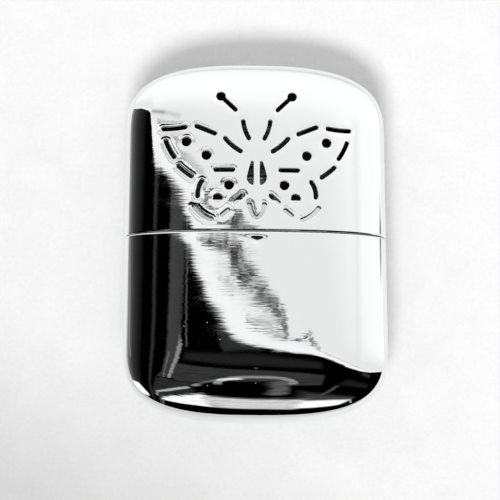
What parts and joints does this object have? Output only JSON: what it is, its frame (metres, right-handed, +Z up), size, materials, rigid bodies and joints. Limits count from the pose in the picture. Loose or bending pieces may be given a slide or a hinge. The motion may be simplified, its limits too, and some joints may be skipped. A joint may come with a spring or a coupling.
{
  "type": "catalytic hand warmer",
  "caption": "Pocket catalytic hand warmer: pebble-shaped chromed case with a lift-off cap vented by a punched butterfly, over a fuel tank with a lift-off burner.",
  "frame": {"origin": "centre of the case's outline, on the surface that it lies on", "axes": "+X across the case, +Y along the case from the tank towards the cap, +Z up through its thickness, out of the vented face"},
  "size_m": [0.068, 0.0958, 0.0162],
  "materials": {
    "chrome_case": "mirror-bright chrome plate on drawn sheet",
    "chrome_inner": "bright plate, a little duller than the case",
    "solder": "dull tin solder",
    "cotton": "loose white cotton",
    "felt": "pressed wool felt",
    "burner_metal": "heat-darkened plated steel",
    "gauze_wire": "oxidised wire cloth",
    "glass_fibre": "grey glass-fibre mat that carries the catalyst"
  },
  "bodies": {
    "tank": {"tank_shell": "chrome_case", "tank_top": "chrome_inner", "shell_solder": "solder", "filler_neck": "chrome_inner", "neck_solder": "solder", "cotton_wadding": "cotton", "felt_pad": "felt", "neck_wick": "cotton", "wick_bridge": "chrome_inner"},
    "burner": {"burner_socket": "chrome_inner", "vapour_plate": "burner_metal", "front_frame": "burner_metal", "rear_frame": "burner_metal", "edge_strip": "burner_metal", "front_gauze": "gauze_wire", "rear_gauze": "gauze_wire", "front_mat": "glass_fibre", "rear_mat": "glass_fibre", "mat_spacer": "burner_metal"},
    "cap": {"cap_shell": "chrome_case"}
  },
  "joints": [
    {"name": "cap_lift", "type": "slide", "parent": "tank", "child": "cap", "axis": [0, 1, 0], "range_m": [0, 0.045]},
    {"name": "burner_lift", "type": "slide", "parent": "tank", "child": "burner", "axis": [0, 1, 0], "range_m": [0, 0.007]}
  ]
}
